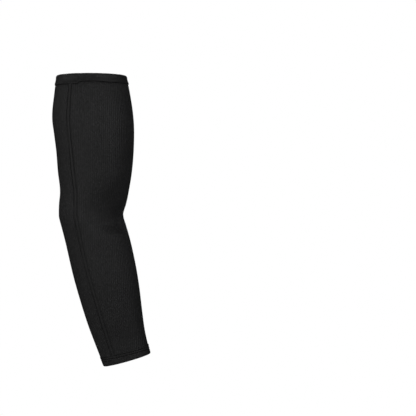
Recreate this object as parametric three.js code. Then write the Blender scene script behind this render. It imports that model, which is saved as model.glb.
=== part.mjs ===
// Arm sleeve: a stretch-knit tube for one arm, bent a little at the elbow. Two panels meet at two
// flat seams, a folded elastic band ends it at the upper arm and a turned-up hem at the wrist.
// Lengths are millimetres. +Z runs up the arm, +X toward the inside of the elbow, and +Y away
// from the side that is called the front. The origin is the middle of the upper opening.

import * as THREE from 'three';

// Lengths along the arm, and the way it bends
const upperLength = 178;
const forearmLength = 197;
const elbowBend = 13.5; // degrees
const bendReach = 30; // above and below the elbow, where the sections turn with the bend
const wristSlant = 1.9; // degrees, of the wrist opening past square to the forearm

// Outside widths and depths of the worn sleeve
const openingWidth = 90;
const openingDepth = 82;
const bicepsWidth = 105;
const bicepsDepth = 94;
const elbowWidth = 86;
const elbowDepth = 82;
const forearmWidth = 82;
const forearmDepth = 78;
const wristWidth = 63;
const wristDepth = 46;

// Cloth, seams and edges
const clothThickness = 1.2;
const seamWidth = 5.2;
const seamThickness = 0.8;
const seamProud = 0.3; // past the skin of the panels
const bandHeight = 11.5;
const bandThickness = 2.4;
const bandProud = 0.4; // past the skin of the panels
const hemHeight = 13;
const hemThickness = 2.2;
const hemProud = 0.5;
const clearance = 0.3; // between neighbouring pieces

// Facets of the curved surfaces
const coarseRow = 12;
const fineRow = 5;
const mainColumns = 24;
const elbowColumns = 12;
const ringColumns = 40;
const foldSteps = 5;

const sleeveLength = upperLength + forearmLength;
const upperArm = { start: 0, length: upperLength };
const forearm = { start: upperLength, length: forearmLength };
const opening = { width: openingWidth, depth: openingDepth };
const biceps = { width: bicepsWidth, depth: bicepsDepth };
const elbow = { width: elbowWidth, depth: elbowDepth };
const lowerArm = { width: forearmWidth, depth: forearmDepth };
const wrist = { width: wristWidth, depth: wristDepth };

// Sections from the upper opening to the wrist. at is a share of the limb's length. The two half
// widths and the half depth are shares of the width and the depth at the place that they follow.
const sections = [
  { limb: upperArm, at: 0.0, follows: opening, elbowSide: 0.495, innerSide: 0.5, halfDepth: 0.5 },
  { limb: upperArm, at: 0.06, follows: opening, elbowSide: 0.515, innerSide: 0.53, halfDepth: 0.52 },
  { limb: upperArm, at: 0.15, follows: biceps, elbowSide: 0.46, innerSide: 0.485, halfDepth: 0.48 },
  { limb: upperArm, at: 0.26, follows: biceps, elbowSide: 0.482, innerSide: 0.512, halfDepth: 0.5 },
  { limb: upperArm, at: 0.33, follows: biceps, elbowSide: 0.483, innerSide: 0.522, halfDepth: 0.5 },
  { limb: upperArm, at: 0.43, follows: biceps, elbowSide: 0.46, innerSide: 0.527, halfDepth: 0.495 },
  { limb: upperArm, at: 0.55, follows: biceps, elbowSide: 0.433, innerSide: 0.524, halfDepth: 0.485 },
  { limb: upperArm, at: 0.7, follows: biceps, elbowSide: 0.415, innerSide: 0.5, halfDepth: 0.46 },
  { limb: upperArm, at: 0.85, follows: elbow, elbowSide: 0.475, innerSide: 0.56, halfDepth: 0.51 },
  { limb: upperArm, at: 0.93, follows: elbow, elbowSide: 0.49, innerSide: 0.533, halfDepth: 0.5 },
  { limb: upperArm, at: 1.0, follows: elbow, elbowSide: 0.495, innerSide: 0.503, halfDepth: 0.5 },
  { limb: forearm, at: 0.04, follows: elbow, elbowSide: 0.493, innerSide: 0.469, halfDepth: 0.5 },
  { limb: forearm, at: 0.07, follows: elbow, elbowSide: 0.49, innerSide: 0.461, halfDepth: 0.495 },
  { limb: forearm, at: 0.13, follows: lowerArm, elbowSide: 0.512, innerSide: 0.484, halfDepth: 0.51 },
  { limb: forearm, at: 0.25, follows: lowerArm, elbowSide: 0.513, innerSide: 0.495, halfDepth: 0.5 },
  { limb: forearm, at: 0.4, follows: lowerArm, elbowSide: 0.512, innerSide: 0.489, halfDepth: 0.485 },
  { limb: forearm, at: 0.55, follows: lowerArm, elbowSide: 0.498, innerSide: 0.461, halfDepth: 0.45 },
  { limb: forearm, at: 0.7, follows: lowerArm, elbowSide: 0.469, innerSide: 0.423, halfDepth: 0.4 },
  { limb: forearm, at: 0.85, follows: wrist, elbowSide: 0.555, innerSide: 0.503, halfDepth: 0.555 },
  { limb: forearm, at: 0.93, follows: wrist, elbowSide: 0.522, innerSide: 0.497, halfDepth: 0.515 },
  { limb: forearm, at: 1.0, follows: wrist, elbowSide: 0.49, innerSide: 0.497, halfDepth: 0.49 },
];

// The two seams, as degrees of turn from the elbow side, toward the front and toward the back
const seamTracks = [
  { limb: upperArm, at: 0.0, front: 55, back: 60.5 },
  { limb: upperArm, at: 0.25, front: 55, back: 68 },
  { limb: upperArm, at: 0.5, front: 54.5, back: 76.5 },
  { limb: upperArm, at: 0.75, front: 58, back: 85 },
  { limb: upperArm, at: 0.95, front: 61.5, back: 86.5 },
  { limb: forearm, at: 0.12, front: 59, back: 77 },
  { limb: forearm, at: 0.3, front: 57.5, back: 75.5 },
  { limb: forearm, at: 0.5, front: 59, back: 77.5 },
  { limb: forearm, at: 0.75, front: 60, back: 73.5 },
  { limb: forearm, at: 1.0, front: 61, back: 70.5 },
];

// Folds of the cloth over the arm, each through the points of its rows. at is a share of the
// limb's length, and turn is in degrees from the elbow side, below zero at the back. rise is how
// far the cloth stands out there, and above and below are how far the fold reaches to either
// side, all as shares of the elbow's width.
const frontCrease = [
  { limb: forearm, at: 0.06, turn: 174, rise: 0, above: 0.22, below: 0.14 },
  { limb: forearm, at: 0.097, turn: 150, rise: -0.085, above: 0.42, below: 0.25 },
  { limb: forearm, at: 0.066, turn: 116, rise: -0.08, above: 0.6, below: 0.28 },
  { limb: upperArm, at: 0.87, turn: 84, rise: 0, above: 0.4, below: 0.35 },
];
const backCrease = [
  { limb: forearm, at: 0.06, turn: -178, rise: 0, above: 0.2, below: 0.1 },
  { limb: forearm, at: 0.12, turn: -134, rise: -0.04, above: 0.15, below: 0.11 },
  { limb: forearm, at: 0.3, turn: -146, rise: 0, above: 0.1, below: 0.12 },
];
const backSwell = [
  { limb: forearm, at: 0.09, turn: -164, rise: 0.02, above: 0.08, below: 0.08 },
  { limb: forearm, at: 0.28, turn: -170, rise: 0, above: 0.08, below: 0.08 },
];
const bicepsSwell = [
  { limb: upperArm, at: 0.1, turn: 110, rise: 0.012, above: 0.28, below: 0.35 },
  { limb: upperArm, at: 0.41, turn: 115, rise: 0.062, above: 0.62, below: 0.62 },
  { limb: upperArm, at: 0.7, turn: 118, rise: 0.045, above: 0.42, below: 0.46 },
];
const folds = [frontCrease, backCrease, backSwell, bicepsSwell];

// The distance down the arm of a row of a table
function placeOf(row) {
  return row.limb.start + row.at * row.limb.length;
}

// Values between the rows of a table, by the distance along the arm
function tableCurve(rows, readRow) {
  const places = rows.map(placeOf);
  const values = rows.flatMap(readRow);
  const size = values.length / rows.length;
  return new THREE.CubicInterpolant(places, values, size, new Float32Array(size));
}

const sectionCurve = tableCurve(sections, (row) => [
  row.elbowSide * row.follows.width,
  row.innerSide * row.follows.width,
  row.halfDepth * row.follows.depth,
]);

const seamCurve = tableCurve(seamTracks, (row) => [
  THREE.MathUtils.degToRad(row.front),
  -THREE.MathUtils.degToRad(row.back),
]);

function sectionAt(along) {
  const [elbowSide, innerSide, halfDepth] = sectionCurve.evaluate(along);
  return { elbowSide, innerSide, halfDepth };
}

function frontSeamTurn(along) {
  return seamCurve.evaluate(along)[0];
}

function backSeamTurn(along) {
  return seamCurve.evaluate(along)[1];
}

// The arm's line: straight down to the elbow, then along the bent forearm
function centreAt(along) {
  const below = Math.max(0, along - upperLength);
  const bend = THREE.MathUtils.degToRad(elbowBend);
  const drop = Math.min(along, upperLength) + below * Math.cos(bend);
  return new THREE.Vector3(below * Math.sin(bend), 0, -drop);
}

// How far a section leans from level, with its inner side up
function leanAt(along) {
  const below = along - upperLength;
  const bent = elbowBend * THREE.MathUtils.smoothstep(below, -bendReach, bendReach);
  const slant = wristSlant * Math.max(0, below / forearmLength) ** 2;
  return THREE.MathUtils.degToRad(bent + slant);
}

// How far the stretch between two points of a fold moves the cloth at a place. It is measured on
// the cloth laid flat, where up counts toward the upper arm.
function stretchRise(from, to, along, turn) {
  const flat = (place, angle) => new THREE.Vector2((angle * elbowWidth) / 2, -place);
  const start = flat(placeOf(from), THREE.MathUtils.degToRad(from.turn));
  const run = flat(placeOf(to), THREE.MathUtils.degToRad(to.turn)).sub(start);
  const offset = flat(along, turn).sub(start);
  const share = THREE.MathUtils.clamp(offset.dot(run) / run.lengthSq(), 0, 1);
  offset.addScaledVector(run, -share);
  const distance = offset.length();
  const upward = 0.5 + (0.5 * offset.y) / Math.max(distance, 0.001);
  const above = THREE.MathUtils.lerp(from.above, to.above, share);
  const below = THREE.MathUtils.lerp(from.below, to.below, share);
  const reach = THREE.MathUtils.lerp(below, above, upward) * elbowWidth;
  const rise = THREE.MathUtils.lerp(from.rise, to.rise, share) * elbowWidth;
  return rise * (0.5 + 0.5 * Math.cos(Math.PI * Math.min(1, distance / reach)));
}

// How far the folds move the cloth at a place: the deepest dip there with the highest swell. A
// turn that has passed the inner side is read under both of its names.
function foldRise(along, turn) {
  const rises = [0];
  for (const fold of folds) {
    for (let next = 1; next < fold.length; next += 1) {
      rises.push(stretchRise(fold[next - 1], fold[next], along, turn));
      rises.push(stretchRise(fold[next - 1], fold[next], along, turn - 2 * Math.PI));
    }
  }
  return Math.min(...rises) + Math.max(...rises);
}

// A point of the sleeve: turn runs from the elbow side toward the front, inset goes into the wall
function skin(along, turn, inset) {
  const section = sectionAt(along);
  const halfWidth = Math.cos(turn) > 0 ? section.elbowSide : section.innerSide;
  const normal = new THREE.Vector2(-Math.cos(turn) * section.halfDepth, -Math.sin(turn) * halfWidth);
  normal.normalize().multiplyScalar(foldRise(along, turn));
  const across = -(halfWidth - inset) * Math.cos(turn) + normal.x;
  const back = -(section.halfDepth - inset) * Math.sin(turn) + normal.y;
  const lean = leanAt(along);
  const offset = new THREE.Vector3(across * Math.cos(lean), back, across * Math.sin(lean));
  return centreAt(along).add(offset);
}

// The turn that lies a distance round the sleeve from another
function turnPast(along, turn, distance) {
  const section = sectionAt(along);
  const halfWidth = Math.cos(turn) > 0 ? section.elbowSide : section.innerSide;
  return turn + distance / Math.hypot(halfWidth * Math.sin(turn), section.halfDepth * Math.cos(turn));
}

// Rows of the panels and seams, from the band to the hem and closer together at the elbow
function bodyRows() {
  const last = sleeveLength - hemHeight - clearance;
  const rows = [];
  let next = bandHeight + clearance;
  while (next < last - coarseRow / 2) {
    rows.push(next);
    next += Math.abs(next - upperLength) < bendReach ? fineRow : coarseRow;
  }
  rows.push(last);
  return rows;
}

function closedSolid(points, quads) {
  const geometry = new THREE.BufferGeometry();
  geometry.setFromPoints(points);
  geometry.setIndex(quads.flatMap(([a, b, c, d]) => [a, b, c, a, c, d]));
  geometry.computeVertexNormals();
  return geometry;
}

// A strip of cloth down the sleeve, as a closed wall from outside to inside. Each column has the
// turn at which it runs, by the distance along the arm, and how far it sinks into the sleeve.
function strip(columns, outside, inside) {
  const rows = bodyRows();
  const points = [];
  for (const inset of [outside, inside]) {
    for (const along of rows) {
      points.push(...columns.map((column) => skin(along, column.turnAt(along), inset + column.sink)));
    }
  }
  const outer = (row, column) => row * columns.length + column;
  const inner = (row, column) => outer(rows.length + row, column);
  const quads = [];
  const bottom = rows.length - 1;
  const last = columns.length - 1;
  for (let row = 0; row < bottom; row += 1) {
    const below = row + 1;
    for (let column = 0; column < last; column += 1) {
      const next = column + 1;
      quads.push([outer(row, column), outer(below, column), outer(below, next), outer(row, next)]);
      quads.push([inner(row, column), inner(row, next), inner(below, next), inner(below, column)]);
    }
    quads.push([outer(row, 0), inner(row, 0), inner(below, 0), outer(below, 0)]);
    quads.push([outer(below, last), inner(below, last), inner(row, last), outer(row, last)]);
  }
  for (let column = 0; column < last; column += 1) {
    const next = column + 1;
    quads.push([outer(0, column), outer(0, next), inner(0, next), inner(0, column)]);
    quads.push([outer(bottom, next), outer(bottom, column), inner(bottom, column), inner(bottom, next)]);
  }
  return closedSolid(points, quads);
}

// Outline of a folded edge: a half round at the fold and a square end where it meets the panels.
// It runs down the outside and up the inside.
function foldedOutline(fold, end, proud, thickness) {
  const radius = thickness / 2;
  const toEnd = Math.sign(end - fold);
  const outline = [];
  for (let step = 0; step <= foldSteps; step += 1) {
    const angle = (Math.PI * step) / foldSteps;
    const along = fold + toEnd * radius * (1 - Math.sin(angle));
    outline.push({ along, inset: radius - proud + radius * Math.cos(angle) });
  }
  outline.push({ along: end, inset: -proud });
  outline.push({ along: end, inset: thickness - proud });
  return toEnd > 0 ? outline : outline.reverse();
}

// A ring of cloth right round the sleeve, with the given outline
function ring(outline) {
  const points = [];
  for (const { along, inset } of outline) {
    for (let column = 0; column < ringColumns; column += 1) {
      points.push(skin(along, (2 * Math.PI * column) / ringColumns, inset));
    }
  }
  const vertex = (step, column) => (step % outline.length) * ringColumns + (column % ringColumns);
  const quads = [];
  for (let step = 0; step < outline.length; step += 1) {
    for (let column = 0; column < ringColumns; column += 1) {
      const next = column + 1;
      const [here, below] = [step, step + 1];
      quads.push([vertex(here, column), vertex(below, column), vertex(below, next), vertex(here, next)]);
    }
  }
  return closedSolid(points, quads);
}

function knitMaterial() {
  return new THREE.MeshStandardMaterial({ color: 0x1e1e1f, roughness: 0.85, metalness: 0 });
}

function elasticMaterial() {
  return new THREE.MeshStandardMaterial({ color: 0x1b1b1c, roughness: 0.8, metalness: 0 });
}

function threadMaterial() {
  return new THREE.MeshStandardMaterial({ color: 0x121213, roughness: 0.7, metalness: 0 });
}

function named(name, geometry, material) {
  const mesh = new THREE.Mesh(geometry, material);
  mesh.name = name;
  return mesh;
}

// A column that runs beside a seam, at a distance from its middle
function columnBeside(seamTurn, distance, sink) {
  return { turnAt: (along) => turnPast(along, seamTurn(along), distance), sink };
}

// A panel from one seam round to the next. Its two edges meet the neighbours' in the middle of the
// seams, where the cloth sinks under the seams' thread.
function panel(name, count, firstSeam, lastSeam) {
  const sink = seamThickness - seamProud + clearance;
  const ledge = seamWidth / 2 + clearance;
  const first = columnBeside(firstSeam, ledge + sink, 0);
  const last = columnBeside(lastSeam, -ledge - sink, 0);
  const columns = [columnBeside(firstSeam, clearance / 2, sink), columnBeside(firstSeam, ledge, sink)];
  for (let column = 0; column <= count; column += 1) {
    const turnAt = (along) => THREE.MathUtils.lerp(first.turnAt(along), last.turnAt(along), column / count);
    columns.push({ turnAt, sink: 0 });
  }
  columns.push(columnBeside(lastSeam, -ledge, sink), columnBeside(lastSeam, -clearance / 2, sink));
  return named(name, strip(columns, 0, clothThickness), knitMaterial());
}

// The wide panel: front, inside of the arm and back, from seam to seam
function mainPanel() {
  return panel('main_panel', mainColumns, frontSeamTurn, (along) => backSeamTurn(along) + 2 * Math.PI);
}

// The narrow panel over the triceps, the elbow and the outer edge of the forearm
function elbowPanel() {
  return panel('elbow_panel', elbowColumns, backSeamTurn, frontSeamTurn);
}

// A flat seam: a ribbon of thread over the edges of both panels
function flatSeam(name, seamTurn) {
  const distances = [-seamWidth / 2, 0, seamWidth / 2];
  const columns = distances.map((distance) => columnBeside(seamTurn, distance, 0));
  return named(name, strip(columns, -seamProud, seamThickness - seamProud), threadMaterial());
}

// The elastic band, folded over at the upper opening
function upperBand() {
  return named('upper_band', ring(foldedOutline(0, bandHeight, bandProud, bandThickness)), elasticMaterial());
}

// The hem, turned up at the wrist
function wristHem() {
  const end = sleeveLength - hemHeight;
  return named('wrist_hem', ring(foldedOutline(sleeveLength, end, hemProud, hemThickness)), knitMaterial());
}

const group = new THREE.Group();
group.name = 'arm_sleeve';
group.add(upperBand());
group.add(mainPanel());
group.add(elbowPanel());
group.add(flatSeam('front_seam', frontSeamTurn));
group.add(flatSeam('back_seam', backSeamTurn));
group.add(wristHem());

export default group;
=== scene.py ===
# Arm sleeve: a black stretch-knit tube for one arm, in the shape it has when worn. Two jersey
# panels meet at two flat seams, with an elastic band at the upper arm and a sewn hem at the wrist.
# Shapes are worked out in millimetres along and round the arm and placed in metres.
import math

import bpy
import numpy as np
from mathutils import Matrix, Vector


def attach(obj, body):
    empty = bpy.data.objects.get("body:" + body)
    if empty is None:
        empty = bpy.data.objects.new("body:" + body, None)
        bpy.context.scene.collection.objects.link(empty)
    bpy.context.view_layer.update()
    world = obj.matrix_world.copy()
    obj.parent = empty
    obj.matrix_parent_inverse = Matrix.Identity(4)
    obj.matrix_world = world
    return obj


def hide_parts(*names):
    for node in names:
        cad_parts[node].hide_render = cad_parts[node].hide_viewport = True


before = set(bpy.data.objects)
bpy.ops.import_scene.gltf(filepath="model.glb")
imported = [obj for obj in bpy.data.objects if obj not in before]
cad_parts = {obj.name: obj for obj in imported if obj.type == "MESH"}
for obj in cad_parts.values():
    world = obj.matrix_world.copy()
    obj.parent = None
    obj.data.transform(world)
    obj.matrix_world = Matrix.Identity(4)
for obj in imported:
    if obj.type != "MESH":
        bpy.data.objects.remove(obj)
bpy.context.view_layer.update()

# The camera stands level in front of the sleeve at the height of the elbow. It is turned to the
# right, which puts the sleeve in the left part of the picture, with white beside it.
eye = Vector((0.0, -1.826, -0.1718))
picture_px = 416
focal_px = 1400
middle_px = 208
sleeve_px = 91.5  # column of the middle of the upper opening

bpy.ops.object.select_all(action="DESELECT")
bpy.ops.object.camera_add(location=eye)
camera = bpy.context.object
camera.name = "camera"
camera.data.sensor_width = 36
camera.data.lens = focal_px * 36 / picture_px
camera.rotation_euler = (math.pi / 2, 0, -math.atan((middle_px - sleeve_px) / focal_px))
bpy.context.scene.camera = camera

# The two panels are circular-knitted jersey of polyester and elastane, 0.7 mm thick and cut with
# the ribs upright. They are stretched over the arm, and their edges butt together under the seams.
upper_length = 178.0
forearm_length = 197.0
sleeve_length = upper_length + forearm_length
elbow_bend = 13.5
bend_reach = 30.0
wrist_slant = 1.9
cloth_thickness = 1.1
rib_width = 2.7
run_length = 3.6
run_share = 0.7  # of a rib's relief, which comes and goes along it
panel_start = 9.0  # under the band
panel_end = sleeve_length - 11.6  # under the hem
panel_steps = 178
seam_sink = 0.75
band_sink = 0.85
seam_pucker = 0.17
edge_pucker = 0.12
unevenness = 0.25
elbow_radius = 43.0

# Distance down the arm, half width to the elbow side, half width to the inner side, half depth
arm_sections = np.array([
    (0.0, 44.55, 45.00, 41.00),
    (10.7, 46.35, 47.70, 42.64),
    (26.7, 48.30, 50.92, 45.12),
    (46.3, 50.61, 53.76, 47.00),
    (58.7, 50.71, 54.81, 47.00),
    (76.5, 48.30, 55.34, 46.53),
    (97.9, 45.46, 55.02, 45.59),
    (124.6, 43.57, 52.50, 43.24),
    (151.3, 40.85, 48.16, 41.82),
    (165.5, 42.14, 45.84, 41.00),
    (178.0, 42.57, 43.26, 41.00),
    (185.9, 42.40, 40.33, 41.00),
    (191.8, 42.14, 39.65, 40.59),
    (203.6, 41.98, 39.69, 39.78),
    (227.3, 42.07, 40.59, 39.00),
    (256.8, 41.98, 40.10, 37.83),
    (286.4, 40.84, 37.80, 35.10),
    (315.9, 38.46, 34.69, 31.20),
    (345.4, 34.97, 31.69, 25.53),
    (361.2, 32.89, 31.31, 23.69),
    (375.0, 30.87, 31.31, 22.54),
])

# Distance down the arm, and degrees of turn from the elbow side to the front and the back seam
seam_tracks = np.array([
    (0.0, 55.0, 60.5),
    (44.5, 55.0, 68.0),
    (89.0, 54.5, 76.5),
    (133.5, 58.0, 85.0),
    (169.1, 61.5, 86.5),
    (201.6, 59.0, 77.0),
    (237.1, 57.5, 75.5),
    (276.5, 59.0, 77.5),
    (325.8, 60.0, 73.5),
    (375.0, 61.0, 70.5),
])

# Folds at the inside of the elbow and, last, the swell over the biceps, each through points at a
# distance down the arm and a turn in degrees, with the rise of the cloth there and how far the
# fold reaches above and below
folds = [
    [(189.8, 174, 0.0, 18.9, 12.0), (197.1, 150, -7.3, 36.1, 21.5), (191.0, 116, -6.9, 51.6, 24.1),
     (154.9, 84, 0.0, 34.4, 30.1)],
    [(189.8, -178, 0.0, 17.2, 8.6), (201.6, -134, -3.4, 12.9, 9.5), (237.1, -146, 0.0, 8.6, 10.3)],
    [(195.7, -164, 1.7, 6.9, 6.9), (233.2, -170, 0.0, 6.9, 6.9)],
    [(17.8, 110, 1.0, 24.1, 30.1), (73.0, 115, 5.3, 53.3, 53.3), (124.6, 118, 3.9, 36.1, 39.6)],
]


def through(rows, along):
    """The values of a table's columns on smooth curves through its rows."""
    place, values = rows[:, 0], rows[:, 1:]
    last = len(place) - 1
    along = np.clip(along, place[0], place[last])
    after = np.clip(np.searchsorted(place, along, side="right"), 1, last)
    before = after - 1
    start, end = place[before], place[after]
    at_start, at_end = after < 2, after == last
    earlier = np.where(at_start, after, after - 2)
    later = np.where(at_end, before, np.minimum(after + 1, last))
    half = (end - start) / 2
    pull_start = half / (start - np.where(at_start, end, place[earlier]))
    pull_end = half / (np.where(at_end, start, place[later]) - end)
    p = (along - start) / (end - start)
    weights = [
        (earlier, -pull_start * p**3 + 2 * pull_start * p**2 - pull_start * p),
        (before, (1 + pull_start) * p**3 - (1.5 + 2 * pull_start) * p**2 + (pull_start - 0.5) * p + 1),
        (after, -(1 + pull_end) * p**3 + (1.5 + pull_end) * p**2 + 0.5 * p),
        (later, pull_end * p**3 - pull_end * p**2),
    ]
    return sum(weight[..., None] * values[row] for row, weight in weights)


def smooth(low, high, value):
    share = np.clip((value - low) / (high - low), 0, 1)
    return share * share * (3 - 2 * share)


def fold_rise(along, turn):
    """How far the folds move the cloth: the deepest dip with the highest swell."""
    dip, swell = np.zeros(along.shape), np.zeros(along.shape)
    for fold in folds:
        for first, second in zip(fold, fold[1:]):
            for passed in (0, 2 * math.pi):
                run_x = math.radians(second[1] - first[1]) * elbow_radius
                run_y = first[0] - second[0]
                x = (turn - passed - math.radians(first[1])) * elbow_radius
                y = first[0] - along
                share = np.clip((x * run_x + y * run_y) / (run_x**2 + run_y**2), 0, 1)
                x, y = x - share * run_x, y - share * run_y
                distance = np.hypot(x, y)
                upward = 0.5 + 0.5 * y / np.maximum(distance, 0.001)
                above = first[3] * (1 - share) + second[3] * share
                below = first[4] * (1 - share) + second[4] * share
                near = np.minimum(1, distance / (below + (above - below) * upward))
                height = first[2] * (1 - share) + second[2] * share
                rise = height * (0.5 + 0.5 * np.cos(math.pi * near))
                dip, swell = np.minimum(dip, rise), np.maximum(swell, rise)
    return dip + swell


def skin(along, turn, inset):
    """Points of the sleeve in metres, by distance, turn and depth into the wall."""
    along, turn, inset = np.broadcast_arrays(along, turn, inset)
    elbow_side, inner_side, half_depth = np.moveaxis(through(arm_sections, along), -1, 0)
    half_width = np.where(np.cos(turn) > 0, elbow_side, inner_side)
    away_x, away_y = -np.cos(turn) * half_depth, -np.sin(turn) * half_width
    lift = fold_rise(along, turn) / np.hypot(away_x, away_y)
    across = -(half_width - inset) * np.cos(turn) + away_x * lift
    back = -(half_depth - inset) * np.sin(turn) + away_y * lift
    below = along - upper_length
    slant = wrist_slant * np.maximum(0, below / forearm_length) ** 2
    lean = np.radians(elbow_bend * smooth(-bend_reach, bend_reach, below) + slant)
    bend, below = math.radians(elbow_bend), np.maximum(0, below)
    x = below * math.sin(bend) + across * np.cos(lean)
    z = across * np.sin(lean) - np.minimum(along, upper_length) - below * math.cos(bend)
    return np.stack([x, back, z], axis=-1) / 1000


def seam_turns(along):
    """Turns of the front and the back seam, in radians."""
    turns = np.radians(through(seam_tracks, along))
    return turns[..., 0], -turns[..., 1]


def turn_past(along, turn, distance):
    """The turn that lies a distance round the sleeve from another."""
    elbow_side, inner_side, half_depth = np.moveaxis(through(arm_sections, along), -1, 0)
    half_width = np.where(np.cos(turn) > 0, elbow_side, inner_side)
    return turn + distance / np.hypot(half_width * np.sin(turn), half_depth * np.cos(turn))


# The band's lower edge, under which the panels sink. The band is taller where its ends lap.
band_height = 11.5
lap_height = 13.0
lap_front = math.radians(70)
lap_back = math.radians(-53)


def signed(turn):
    return (turn + math.pi) % (2 * math.pi) - math.pi


def on_lap(turn):
    """How far the band is doubled: 1 from one end of the lap to the other."""
    turn = signed(turn)
    return smooth(-0.02, 0.02, lap_front - turn) * smooth(-0.03, 0.03, turn - lap_back)


def band_edge(turn):
    """The distance of the band's lower edge from the fold."""
    past_lap = 1.2 * np.exp(-(((signed(turn) - 1.55) / 0.42) ** 2))
    return band_height - past_lap + (lap_height + 0.2 - band_height + past_lap) * on_lap(turn)


def lay_cloth(name, points, pattern):
    """A grid bent to rows and columns of points, with its pattern's place in millimetres."""
    rows, columns = points.shape[:2]
    bpy.ops.object.select_all(action="DESELECT")
    bpy.ops.mesh.primitive_grid_add(x_subdivisions=columns - 1, y_subdivisions=rows - 1, size=1)
    cloth = bpy.context.object
    cloth.name = cloth.data.name = name
    flat = np.empty(rows * columns * 3)
    cloth.data.vertices.foreach_get("co", flat)
    flat = flat.reshape(-1, 3)
    column = np.rint((flat[:, 0] + 0.5) * (columns - 1)).astype(int)
    row = np.rint((0.5 - flat[:, 1]) * (rows - 1)).astype(int)
    cloth.data.vertices.foreach_set("co", points[row, column].ravel())
    corner = np.empty(len(cloth.data.loops), dtype=int)
    cloth.data.loops.foreach_get("vertex_index", corner)
    uv_map = cloth.data.uv_layers.active
    uv_map.name = "cloth"
    uv_map.data.foreach_set("uv", pattern[row[corner], column[corner]].ravel())
    return cloth


def thicken(cloth, thickness):
    bpy.ops.object.modifier_add(type="SOLIDIFY")
    wall = cloth.modifiers["Solidify"]
    wall.thickness = thickness / 1000
    wall.offset = -1
    wall.use_even_offset = True
    bpy.ops.object.modifier_apply(modifier="Solidify")
    bpy.ops.object.shade_smooth_by_angle(angle=math.radians(50))


def linear(colour):
    """A linear colour from an sRGB hex value."""
    shares = [int(colour[place:place + 2], 16) / 255 for place in (1, 3, 5)]
    return [*(s / 12.92 if s <= 0.04045 else ((s + 0.055) / 1.055) ** 2.4 for s in shares), 1.0]


def add_node(tree, kind, inputs=None, **settings):
    """Adds a node with its settings. An input is a value or the socket that feeds it."""
    node = tree.nodes.new(kind)
    for name, value in settings.items():
        setattr(node, name, value)
    for place, value in (inputs or {}).items():
        if isinstance(value, bpy.types.NodeSocket):
            tree.links.new(value, node.inputs[place])
        else:
            node.inputs[place].default_value = value
    return node


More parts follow.
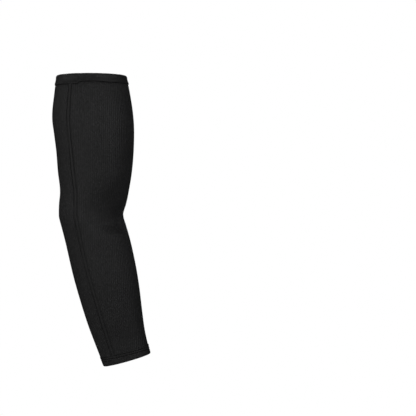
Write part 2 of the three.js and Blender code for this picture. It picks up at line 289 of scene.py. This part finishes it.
def jersey(name, lit_crest, shaded_hollow, relief):
    """Ribbed jersey of textured yarn with a faint sheen. Its ribs catch the light in short runs of
    loops. A real rib of such jersey is about 0.5 mm wide. It is drawn 2.7 mm wide, with 0.9 mm
    stitches in it, because finer ones don't show in the picture."""
    material = bpy.data.materials.new(name)
    material.use_nodes = True
    tree = material.node_tree
    shader = tree.nodes["Principled BSDF"]
    cloth = add_node(tree, "ShaderNodeUVMap", uv_map="cloth").outputs["UV"]
    drift = add_node(tree, "ShaderNodeTexNoise", {"Vector": cloth, "Scale": 0.07, "Detail": 2.0})
    off_middle = add_node(
        tree,
        "ShaderNodeVectorMath",
        {0: drift.outputs["Color"], 1: (0.5, 0.5, 0.5)},
        operation="SUBTRACT",
    )
    wander = add_node(
        tree,
        "ShaderNodeVectorMath",
        {0: off_middle.outputs[0], 1: (1.2, 2.0, 0.0), 2: cloth},
        operation="MULTIPLY_ADD",
    ).outputs[0]
    place = add_node(tree, "ShaderNodeSeparateXYZ", {"Vector": wander})
    u, v = place.outputs["X"], place.outputs["Y"]

    # Ribs: each stands out in runs of a few loops, out of step with the runs beside it
    column = add_node(tree, "ShaderNodeMath", {0: u, 1: rib_width}, operation="DIVIDE")
    number = add_node(tree, "ShaderNodeMath", {0: column.outputs[0]}, operation="FLOOR")
    apart = add_node(
        tree, "ShaderNodeMath", {0: number.outputs[0], 1: 3.7}, operation="MULTIPLY"
    )
    down = add_node(tree, "ShaderNodeMath", {0: v, 1: run_length}, operation="DIVIDE")
    run_place = add_node(
        tree, "ShaderNodeCombineXYZ", {"X": apart.outputs[0], "Y": down.outputs[0]}
    )
    runs = add_node(
        tree, "ShaderNodeTexNoise", {"Vector": run_place.outputs[0], "Scale": 1.0, "Detail": 1.0}
    )
    part = add_node(
        tree,
        "ShaderNodeMapRange",
        {
            "Value": runs.outputs["Fac"],
            "From Min": 0.32,
            "From Max": 0.66,
            "To Min": 1 - run_share,
        },
    )
    half_turn = add_node(
        tree, "ShaderNodeMath", {0: column.outputs[0], 1: math.pi}, operation="MULTIPLY"
    )
    arch = add_node(tree, "ShaderNodeMath", {0: half_turn.outputs[0]}, operation="SINE")
    ridge = add_node(tree, "ShaderNodeMath", {0: arch.outputs[0]}, operation="ABSOLUTE")
    loops = add_node(
        tree, "ShaderNodeMath", {0: ridge.outputs[0], 1: part.outputs[0]}, operation="MULTIPLY"
    )

    # Stitches: each column's two legs lean together
    leg = add_node(tree, "ShaderNodeMath", {0: u, 1: rib_width / 6}, operation="PINGPONG")
    leaning = add_node(
        tree, "ShaderNodeMath", {0: leg.outputs[0], 1: 1.1, 2: v}, operation="MULTIPLY_ADD"
    )
    course = add_node(tree, "ShaderNodeMath", {0: leaning.outputs[0], 1: 0.42}, operation="PINGPONG")
    yarn = add_node(
        tree,
        "ShaderNodeMapRange",
        {"Value": course.outputs[0], "From Min": 0.05, "From Max": 0.42},
        interpolation_type="SMOOTHSTEP",
    )
    across_leg = add_node(
        tree,
        "ShaderNodeMath",
        {0: leg.outputs[0], 1: 2 * math.pi / rib_width * 3},
        operation="MULTIPLY",
    )
    bulge = add_node(tree, "ShaderNodeMath", {0: across_leg.outputs[0]}, operation="SINE")
    stitches = add_node(
        tree, "ShaderNodeMath", {0: yarn.outputs[0], 1: bulge.outputs[0]}, operation="MULTIPLY"
    )

    # Colour: painted light on the loops' crests and painted shade in the hollows between them, and the
    # dye is a little uneven
    height = add_node(
        tree,
        "ShaderNodeMath",
        {0: stitches.outputs[0], 1: 0.35, 2: loops.outputs[0]},
        operation="MULTIPLY_ADD",
    )
    tone = add_node(
        tree,
        "ShaderNodeMath",
        {0: drift.outputs["Fac"], 1: 0.5, 2: height.outputs[0]},
        operation="MULTIPLY_ADD",
    )
    # The ramp paints the hollows darker as shade and the crests lighter as light. Only the drift noise
    # is uneven dye.
    colour = add_node(tree, "ShaderNodeValToRGB", {"Fac": tone.outputs[0]})
    colour.color_ramp.elements[0].position = 0.15
    colour.color_ramp.elements[0].color = linear(shaded_hollow)
    colour.color_ramp.elements[1].position = 1.45 / 1.6
    colour.color_ramp.elements[1].color = linear(lit_crest)
    gloss = add_node(
        tree,
        "ShaderNodeMapRange",
        {
            "Value": height.outputs[0],
            "From Min": 0.0,
            "From Max": 1.2,
            "To Min": 0.62,
            "To Max": 0.35,
        },
    )
    ribs = add_node(
        tree, "ShaderNodeBump", {"Height": loops.outputs[0], "Strength": 1.0, "Distance": relief / 1000}
    )
    surface = add_node(
        tree,
        "ShaderNodeBump",
        {
            "Height": stitches.outputs[0],
            "Strength": 0.8,
            "Distance": 0.00012,
            "Normal": ribs.outputs["Normal"],
        },
    )
    tree.links.new(colour.outputs["Color"], shader.inputs["Base Color"])
    tree.links.new(gloss.outputs[0], shader.inputs["Roughness"])
    tree.links.new(surface.outputs["Normal"], shader.inputs["Normal"])
    shader.inputs["IOR"].default_value = 1.5
    shader.inputs["Specular IOR Level"].default_value = 0.5
    return material


def panel_cloth(name, first_seam, last_seam, middle_columns, pattern_of):
    """A panel from one seam round to the next. Its edges sink under the seams, and the thread
    draws small puckers into the cloth beside them."""
    along = np.linspace(panel_start, panel_end, panel_steps)[:, None]
    beside = np.array([0.0, 0.7, 1.4, 2.0, 2.5, 3.0, 3.6, 4.4, 5.4, 6.8, 8.5])
    first = turn_past(along, first_seam(along), beside)
    last = turn_past(along, last_seam(along), -beside[::-1])
    share = np.linspace(0, 1, middle_columns + 2)[1:-1]
    middle = first[:, -1:] * (1 - share) + last[:, :1] * share
    turn = np.concatenate([first, middle, last], axis=1)
    smooth_cloth = skin(along, turn, 0)
    step = np.linalg.norm(np.diff(smooth_cloth, axis=1), axis=2) * 1000
    from_first = np.concatenate([np.zeros((len(along), 1)), np.cumsum(step, axis=1)], axis=1)
    from_seam = np.minimum(from_first, from_first[:, -1:] - from_first)
    sink = seam_sink * (1 - smooth(2.0, 3.6, from_seam))
    sink = np.maximum(sink, band_sink * (1 - smooth(0.3, 1.5, along - band_edge(turn))))
    by_seam = np.exp(-((from_seam - 3.8) / 2.6) ** 2)
    by_band = np.exp(-np.maximum(0, along - 11) / 5)
    by_hem = np.exp(-np.maximum(0, 361 - along) / 4)
    pucker = seam_pucker * np.sin(along / 0.86 + 1.7 * np.sin(along / 17)) * by_seam
    pucker += edge_pucker * np.sin(31 * turn + 1.4 * np.sin(5 * turn)) * by_band
    pucker += edge_pucker * np.sin(25 * turn + 1.2 * np.sin(4 * turn)) * by_hem
    uneven = unevenness * np.sin(along / 19 + 2 * turn) * np.sin(along / 31 - 3 * turn + 1)
    pattern = pattern_of(along, turn, from_first, smooth_cloth)
    return lay_cloth(name, skin(along, turn, sink - pucker - uneven), pattern)


def upright_pattern(along, turn, from_first, points):
    """The wide panel's ribs stand upright at the front and back, from the upper arm to the wrist."""
    inner_line = np.array([np.interp(math.pi, t, d) for t, d in zip(turn, from_first)])[:, None]
    quarter = np.array([np.interp(math.pi / 2, t, d) for t, d in zip(turn, from_first)])[:, None]
    centre = np.maximum(0, along - upper_length) * math.sin(math.radians(elbow_bend))
    shift = np.sin(turn) * (inner_line - quarter + centre - 77)
    return np.stack([inner_line - from_first - shift, points[..., 2] * 1000], axis=-1)


def arm_pattern(along, turn, from_first, points):
    """The narrow panel's ribs follow the line of the elbow."""
    elbow_line = np.array([np.interp(0, t, d) for t, d in zip(turn, from_first)])[:, None]
    return np.stack([from_first - elbow_line, points[..., 2] * 1000], axis=-1)


panel_jersey = jersey("ribbed_polyester_jersey", lit_crest="#1d1d1e", shaded_hollow="#040405", relief=0.5)

main_panel = panel_cloth(
    "main_panel_cloth",
    lambda along: seam_turns(along)[0],
    lambda along: seam_turns(along)[1] + 2 * math.pi,
    84,
    upright_pattern,
)
thicken(main_panel, cloth_thickness)
main_panel.data.materials.append(panel_jersey)
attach(main_panel, "root")
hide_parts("main_panel")

elbow_panel = panel_cloth(
    "elbow_panel_cloth",
    lambda along: seam_turns(along)[1],
    lambda along: seam_turns(along)[0],
    34,
    arm_pattern,
)
thicken(elbow_panel, cloth_thickness)
elbow_panel.data.materials.append(panel_jersey)
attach(elbow_panel, "root")
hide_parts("elbow_panel")

# Each flat seam is sewn with textured nylon: a ribbon of looped thread covers the butted edges,
# two rows of needle stitches hold it, and cover threads run to and fro between the rows.
ribbon_start = 9.5
ribbon_end = sleeve_length - 12.0
ribbon_steps = 290
needle_row = 2.2
stitch_pitch = 2.4
stitch_places = np.arange(12.8, sleeve_length - 13.6, stitch_pitch)
thread_width = 0.5


def sewing_thread(name, light, dark, roughness, specular):
    """Sewing thread of two crimped plies. The plies of a real one turn every 0.6 mm."""
    material = bpy.data.materials.new(name)
    material.use_nodes = True
    tree = material.node_tree
    shader = tree.nodes["Principled BSDF"]
    cloth = add_node(tree, "ShaderNodeUVMap", uv_map="cloth").outputs["UV"]
    plies = add_node(
        tree,
        "ShaderNodeTexWave",
        {"Vector": cloth, "Scale": 0.52, "Distortion": 1.2, "Detail": 2.0, "Detail Scale": 1.5},
        wave_type="BANDS",
        bands_direction="DIAGONAL",
    )
    colour = add_node(tree, "ShaderNodeValToRGB", {"Fac": plies.outputs["Fac"]})
    colour.color_ramp.elements[0].color = linear(dark)
    colour.color_ramp.elements[1].color = linear(light)
    twist = add_node(
        tree, "ShaderNodeBump", {"Height": plies.outputs["Fac"], "Strength": 0.8, "Distance": 0.00012}
    )
    tree.links.new(colour.outputs["Color"], shader.inputs["Base Color"])
    tree.links.new(twist.outputs["Normal"], shader.inputs["Normal"])
    shader.inputs["Roughness"].default_value = roughness
    shader.inputs["IOR"].default_value = 1.53
    shader.inputs["Specular IOR Level"].default_value = specular
    return material


def stitch_shape(length, width, arch, rings):
    """One stitch's points, faces and pattern, from a six-sided bead drawn out to its length. Its
    ends dip by the height of its arch. The faces are sorted, as a sphere's come in no fixed order."""
    bpy.ops.object.select_all(action="DESELECT")
    bpy.ops.mesh.primitive_uv_sphere_add(segments=6, ring_count=rings, radius=1)
    bead = bpy.context.object
    bpy.ops.object.mode_set(mode="EDIT")
    bpy.ops.mesh.select_all(action="SELECT")
    bpy.ops.transform.rotate(value=math.pi / 2, orient_axis="Y", center_override=(0, 0, 0))
    bpy.ops.transform.resize(value=(length / 2, width / 2, width / 2), center_override=(0, 0, 0))
    bpy.ops.object.mode_set(mode="OBJECT")
    points = np.array([v.co for v in bead.data.vertices])
    points[:, 2] -= arch * (points[:, 0] / (length / 2)) ** 2
    faces = sorted(tuple(face.vertices) for face in bead.data.polygons)
    pattern = points[:, [0, 1]] + points[:, [2, 2]] * (0.0, 0.7)
    bpy.data.meshes.remove(bead.data)
    return points, faces, pattern


def surface_frame(along, turn, inset):
    """Place, direction down the arm, direction round it and outward direction on the sleeve."""
    place = skin(along, turn, inset)
    down = skin(along + 0.4, turn, inset) - skin(along - 0.4, turn, inset)
    around = skin(along, turn + 0.01, inset) - skin(along, turn - 0.01, inset)
    down /= np.linalg.norm(down, axis=-1, keepdims=True)
    around /= np.linalg.norm(around, axis=-1, keepdims=True)
    out = np.cross(down, around)
    return place, down, around, -out / np.linalg.norm(out, axis=-1, keepdims=True)


def sew(name, runs, material):
    """Copies stitch shapes to their places as one piece. A run is a shape with the places, the
    directions along the stitches and the outward directions."""
    points, faces, pattern, count = [], [], [], 0
    for (shape, shape_faces, shape_pattern), place, lengthwise, out in runs:
        side = np.cross(out, lengthwise)
        for at, x_way, y_way, z_way in zip(place, lengthwise, side, out):
            points.append(at + (shape / 1000) @ np.stack([x_way, y_way, z_way]))
            faces += [tuple(corner + count for corner in face) for face in shape_faces]
            pattern.append(shape_pattern)
            count += len(shape)
    mesh = bpy.data.meshes.new(name)
    mesh.from_pydata(np.concatenate(points).tolist(), [], faces)
    thread = bpy.data.objects.new(name, mesh)
    bpy.context.scene.collection.objects.link(thread)
    pattern = np.concatenate(pattern)
    corner = np.empty(len(mesh.loops), dtype=int)
    mesh.loops.foreach_get("vertex_index", corner)
    mesh.uv_layers.new(name="cloth").data.foreach_set("uv", pattern[corner].ravel())
    bpy.ops.object.select_all(action="DESELECT")
    thread.select_set(True)
    bpy.context.view_layer.objects.active = thread
    bpy.ops.object.mode_set(mode="EDIT")
    bpy.ops.mesh.select_all(action="SELECT")
    bpy.ops.mesh.normals_make_consistent(inside=False)
    bpy.ops.object.mode_set(mode="OBJECT")
    bpy.ops.object.shade_smooth()
    mesh.materials.append(material)
    return thread


def seam_ribbon(name, seam):
    """The ribbon: crowned between the needle rows, which draw it down, with its edges tucked in."""
    along = np.linspace(ribbon_start, ribbon_end, ribbon_steps)[:, None]
    one_side = np.array([0.7, 1.4, 1.9, 2.2, 2.5, 2.8, 3.1])
    across = np.concatenate([-one_side[::-1], [0.0], one_side])
    crown = 0.42 * (1 - (across / 3.0) ** 2)
    groove = 0.4 * np.exp(-(((np.abs(across) - needle_row) / 0.34) ** 2))
    tuck = 0.55 * smooth(2.5, 3.1, np.abs(across))
    ripple = 0.07 * np.sin(2 * math.pi * along / stitch_pitch) * (np.abs(across) < 2.0)
    turn = turn_past(along, seam(along), across)
    points = skin(along, turn, -0.12 - crown + groove + tuck - ripple)
    pattern = np.stack(np.broadcast_arrays(across[None, :], along), axis=-1)
    ribbon = lay_cloth(name, points, pattern)
    thicken(ribbon, 0.5)
    return ribbon


def needle_stitches(seam):
    """Two rows of stitches down a seam."""
    stitch = stitch_shape(length=2.1, width=thread_width, arch=0.16, rings=4)
    runs = []
    for side in (-1, 1):
        turn = turn_past(stitch_places, seam(stitch_places), side * needle_row)
        place, down, around, out = surface_frame(stitch_places, turn, -0.14)
        runs.append((stitch, place, down, out))
    return runs


def cover_threads(seam):
    """Threads to and fro between the needle rows, on both faces of a seam."""
    stitch = stitch_shape(length=4.0, width=thread_width, arch=0.3, rings=5)
    runs = []
    for side in (-1, 1):
        between = stitch_places + side * stitch_pitch / 4
        for inset, way in ((-0.5, 1), (1.95, -1)):
            place, down, around, out = surface_frame(between, seam(between), inset)
            slope = down * 0.27 * side + around
            slope /= np.linalg.norm(slope, axis=1, keepdims=True)
            runs.append((stitch, place, slope, out * way))
    return runs


# Textured nylon has the sheen of the jersey. Spun polyester is matt and looks darker than both.
looper_thread = sewing_thread(
    "textured_nylon_thread", light="#1e1e1f", dark="#121213", roughness=0.54, specular=0.5
)
needle_thread = sewing_thread(
    "spun_polyester_thread", light="#131314", dark="#09090a", roughness=0.85, specular=0.15
)

for seam_name, seam_number in (("front_seam", 0), ("back_seam", 1)):
    def seam_turn(along, number=seam_number):
        return seam_turns(along)[number]

    ribbon = seam_ribbon(seam_name + "_ribbon", seam_turn)
    ribbon.data.materials.append(looper_thread)
    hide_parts(seam_name)
    covers = sew(seam_name + "_cover_thread", cover_threads(seam_turn), looper_thread)
    needles = sew(seam_name + "_needle_thread", needle_stitches(seam_turn), needle_thread)
    for piece in (ribbon, covers, needles):
        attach(piece, "root")

# The band is a strip of the same jersey, folded over elastic and sewn round the upper opening.
# Its ends lie over each other at the elbow side, where a tack holds them at the front.
# Outline of the folded band, going up the outside, over the fold and down the inside: the share
# of its height below the fold, and its depth from the skin of the panels
band_outline = [
    (0.80, -0.66), (0.70, -0.50), (0.60, -0.34), (0.50, -0.28), (0.40, -0.30), (0.31, -0.42),
    (0.23, -0.58), (0.15, -0.62), (0.08, -0.42), (0.03, 0.02), (0.0, 0.60), (0.01, 1.20), (0.06, 1.72),
    (0.15, 2.0), (0.30, 2.0), (0.50, 2.0), (0.70, 2.0), (0.88, 2.0), (0.98, 1.9), (1.0, 1.4),
    (1.0, 0.80), (1.0, 0.25), (0.99, -0.20), (0.96, -0.50), (0.89, -0.64),
]


def cloth_ring(name, segments, along_of, inset_of, count):
    """A ring right round the sleeve. A torus gives its faces, and its section is moved to the
    outline that the two functions give for each step and turn. A torus has 256 steps at most."""
    bpy.ops.object.select_all(action="DESELECT")
    bpy.ops.mesh.primitive_torus_add(
        major_segments=segments, minor_segments=count, major_radius=0.05, minor_radius=0.01
    )
    ring = bpy.context.object
    ring.name = ring.data.name = name
    index = np.arange(segments * count)
    step, turn = index % count, 2 * math.pi * (index // count) / segments
    points = skin(along_of(step, turn), turn, inset_of(step, turn))
    ring.data.vertices.foreach_set("co", points.ravel())
    ordered = points.reshape(segments, count, 3)
    round_arm = np.linalg.norm(np.diff(ordered[:, 0], axis=0, append=ordered[:1, 0]), axis=1)
    round_arm = np.concatenate([[0], np.cumsum(round_arm)]) * 1000
    section = np.linalg.norm(np.diff(ordered[0], axis=0, append=ordered[0, :1]), axis=1)
    section = np.concatenate([[0], np.cumsum(section)]) * 1000
    corner = np.empty(len(ring.data.loops), dtype=int)
    ring.data.loops.foreach_get("vertex_index", corner)
    column, row = (corner // count).reshape(-1, 4), (corner % count).reshape(-1, 4)
    last_column = column.max(axis=1, keepdims=True) == segments - 1
    last_row = row.max(axis=1, keepdims=True) == count - 1
    column = np.where((column == 0) & last_column, segments, column)
    row = np.where((row == 0) & last_row, count, row)
    uv_map = ring.data.uv_layers.active or ring.data.uv_layers.new()
    uv_map.name = "cloth"
    uv = np.stack([round_arm[column], section[row]], axis=-1)
    uv_map.data.foreach_set("uv", uv.ravel())
    bpy.ops.object.mode_set(mode="EDIT")
    bpy.ops.mesh.select_all(action="SELECT")
    bpy.ops.mesh.normals_make_consistent(inside=False)
    bpy.ops.object.mode_set(mode="OBJECT")
    bpy.ops.object.shade_smooth()
    return ring


def band_along(step, turn):
    return np.array(band_outline)[step, 0] * band_edge(turn)


def band_inset(step, turn):
    inset = np.array(band_outline)[step, 1]
    outside = smooth(0.9, 0.1, inset)
    gather = 0.09 * np.sin(43 * turn + 1.6 * np.sin(6 * turn))
    gather += 0.05 * np.sin(71 * turn + 2 * np.sin(9 * turn))
    return inset - outside * (0.3 * on_lap(turn) + gather)


upper_band = cloth_ring("upper_band_cloth", 256, band_along, band_inset, len(band_outline))
upper_band.data.materials.append(
    jersey("doubled_jersey_band", lit_crest="#141415", shaded_hollow="#0e0e0f", relief=0.1)
)
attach(upper_band, "root")
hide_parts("upper_band")


def band_threads():
    """The stitches below the band, the gathers at the front seam and the tack at the lap's end."""
    row = stitch_shape(length=1.9, width=0.36, arch=0.2, rings=4)
    bar = stitch_shape(length=3.0, width=0.5, arch=0.15, rings=4)
    turn = np.linspace(0, 2 * math.pi, 108, endpoint=False)
    place, down, around, out = surface_frame(band_edge(turn) + 0.35, turn, 0.45)
    runs = [(row, place, around, out)]
    turn = np.radians(np.linspace(40, 66, 12))
    place, down, around, out = surface_frame(band_edge(turn) - 2.2, turn, -0.92)
    slope = down + 0.25 * around
    runs.append((bar, place, slope / np.linalg.norm(slope, axis=1, keepdims=True), out))
    along = np.linspace(3.4, 8.6, 5)
    place, down, around, out = surface_frame(along, np.full(5, lap_front - 0.015), -0.62)
    runs.append((row, place, down, out))
    return runs


band_thread = sew("upper_band_thread", band_threads(), needle_thread)
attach(band_thread, "root")

# The hem is the panels' own jersey, turned up inside by 13 mm and held by two rows of stitches.
# The rows lap over each other at the front seam, and a small tack fastens them at the back.
row_gap = 3.1
lapped_gap = 5.6
between_gap = 2.8

# Outline of the hem, going up the outside, in over its top, down the inside and round the fold:
# the distance above the wrist's edge, and the depth from the skin of the panels
hem_outline = [(2.0 + 0.35 * step, -0.62) for step in range(30)] + [
    (12.5, -0.52), (12.8, -0.34), (13.0, -0.02), (13.05, 0.5), (13.0, 1.2), (12.5, 1.75),
    (11.0, 1.9),
    (8.5, 1.9), (6.0, 1.9), (3.5, 1.9), (1.8, 1.85), (0.8, 1.6), (0.2, 1.1), (0.0, 0.6), (0.2, 0.1),
    (0.8, -0.35), (1.4, -0.55),
]


def hem_rows(turn):
    """Heights of the rows of stitches above the wrist's edge. The third is there on the lap only."""
    upper = 11.0 + 1.3 * np.cos(turn)
    return upper, upper - row_gap - (lapped_gap - row_gap) * on_hem_lap(turn), upper - between_gap


def on_hem_lap(turn):
    turn = signed(turn)
    return smooth(0.98, 0.90, turn) * smooth(-0.42, -0.34, turn)


def hem_along(step, turn):
    return sleeve_length - np.array(hem_outline)[step, 0]


def hem_inset(step, turn):
    height, inset = np.array(hem_outline)[step].T
    outside = smooth(0.9, 0.1, inset)
    upper, lower, between = hem_rows(turn)
    drawn = np.exp(-(((height - upper) / 0.6) ** 2)) + np.exp(-(((height - lower) / 0.6) ** 2))
    drawn += on_hem_lap(turn) * np.exp(-(((height - between) / 0.6) ** 2))
    turns = signed(turn)
    seam_lump = 0.3 * np.exp(-(((turns - math.radians(61)) / 0.07) ** 2))
    seam_lump += 0.3 * np.exp(-(((turns + math.radians(70.5)) / 0.09) ** 2))
    gather = 0.08 * np.sin(31 * turn + 1.5 * np.sin(5 * turn))
    gather += 0.2 * smooth(-0.3, -1.0, np.cos(turn))
    return inset + outside * (0.5 * drawn - seam_lump - gather)


wrist_hem = cloth_ring("wrist_hem_cloth", 240, hem_along, hem_inset, len(hem_outline))
wrist_hem.data.materials.append(
    jersey("turned_up_jersey_hem", lit_crest="#141415", shaded_hollow="#0d0d0e", relief=0.16)
)
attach(wrist_hem, "root")
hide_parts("wrist_hem")


def hem_threads():
    """The rows of stitches, and the tack's two short sides. A real stitch is 0.4 mm wide. It is
    drawn 0.8 mm wide, because a finer one doesn't show in the picture."""
    stitch = stitch_shape(length=1.8, width=0.8, arch=0.2, rings=4)
    around_wrist = np.linspace(0, 2 * math.pi, 69, endpoint=False)
    on_lap_only = np.linspace(-0.36, 0.92, 14)
    runs = []
    for row, turn in enumerate((around_wrist, around_wrist, on_lap_only)):
        place, down, around, out = surface_frame(sleeve_length - hem_rows(turn)[row], turn, -0.28)
        runs.append((stitch, place, around, out))
    for side in (-74, -95):
        upper = hem_rows(math.radians(side))[0]
        along = sleeve_length - upper + np.array([0.8, 2.3])
        place, down, around, out = surface_frame(along, np.full(2, math.radians(side)), -0.62)
        runs.append((stitch, place, down, out))
    return runs


hem_thread = sew("wrist_hem_thread", hem_threads(), needle_thread)
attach(hem_thread, "root")

# The studio: white all round, with a grey floor well below. Soft lights stand above the sleeve at
# the front and on both sides, and two low ones send light up as a white table would.
floor_height = -1.1
floor_radius = 1.5


def soft_light(name, azimuth, elevation, watts, distance=1.7, size=0.6):
    """An area light that faces the sleeve. Azimuth 0 is the camera's side, and 90 the right."""
    turn, rise = math.radians(azimuth), math.radians(elevation)
    away = Vector((math.sin(turn) * math.cos(rise), -math.cos(turn) * math.cos(rise), math.sin(rise)))
    bpy.ops.object.light_add(type="AREA", location=Vector((0.02, 0, -0.18)) + away * distance)
    light = bpy.context.object
    light.name = name
    light.rotation_euler = away.to_track_quat("Z", "Y").to_euler()
    light.data.shape = "DISK"
    light.data.size = size
    light.data.energy = watts


bpy.ops.object.select_all(action="DESELECT")
bpy.ops.mesh.primitive_circle_add(
    vertices=64, radius=floor_radius, fill_type="NGON", location=(0, 0, floor_height)
)
floor = bpy.context.object
floor.name = "floor"
floor_paint = bpy.data.materials.new("matt_grey_floor_paint")
floor_paint.use_nodes = True
floor_tree = floor_paint.node_tree
mottle = add_node(
    floor_tree,
    "ShaderNodeTexNoise",
    {
        "Vector": add_node(floor_tree, "ShaderNodeTexCoord").outputs["Object"],
        "Scale": 3.0,
        "Detail": 3.0,
    },
)
paint = add_node(floor_tree, "ShaderNodeValToRGB", {"Fac": mottle.outputs["Fac"]})
paint.color_ramp.elements[0].color = linear("#a9a9a7")
paint.color_ramp.elements[1].color = linear("#b1b1af")
floor_tree.links.new(paint.outputs["Color"], floor_tree.nodes["Principled BSDF"].inputs["Base Color"])
floor_tree.nodes["Principled BSDF"].inputs["Roughness"].default_value = 0.9
floor.data.materials.append(floor_paint)

soft_light("key_light", azimuth=40, elevation=35, watts=3.6)
soft_light("front_light", azimuth=25, elevation=15, watts=2.8)
soft_light("inner_side_light", azimuth=50, elevation=8, watts=1.6)
soft_light("low_front_light", azimuth=6, elevation=-8, watts=1.8)
soft_light("low_elbow_light", azimuth=-60, elevation=-10, watts=3.5)
soft_light("elbow_side_light", azimuth=-85, elevation=22, watts=3.4)
soft_light("back_light", azimuth=180, elevation=36, watts=10, distance=1.8, size=0.5)

world = bpy.data.worlds.new("white_studio")
bpy.context.scene.world = world
world.use_nodes = True
world_tree = world.node_tree
world_tree.nodes["Background"].inputs["Color"].default_value = (1, 1, 1, 1)
world_tree.nodes["Background"].inputs["Strength"].default_value = 0.043
seen = add_node(world_tree, "ShaderNodeBackground", {"Color": (1, 1, 1, 1), "Strength": 1.0})
ray = add_node(world_tree, "ShaderNodeLightPath")
both = add_node(
    world_tree,
    "ShaderNodeMixShader",
    {
        0: ray.outputs["Is Camera Ray"],
        1: world_tree.nodes["Background"].outputs[0],
        2: seen.outputs[0],
    },
)
world_tree.links.new(both.outputs[0], world_tree.nodes["World Output"].inputs["Surface"])
bpy.context.scene.view_settings.view_transform = "Standard"
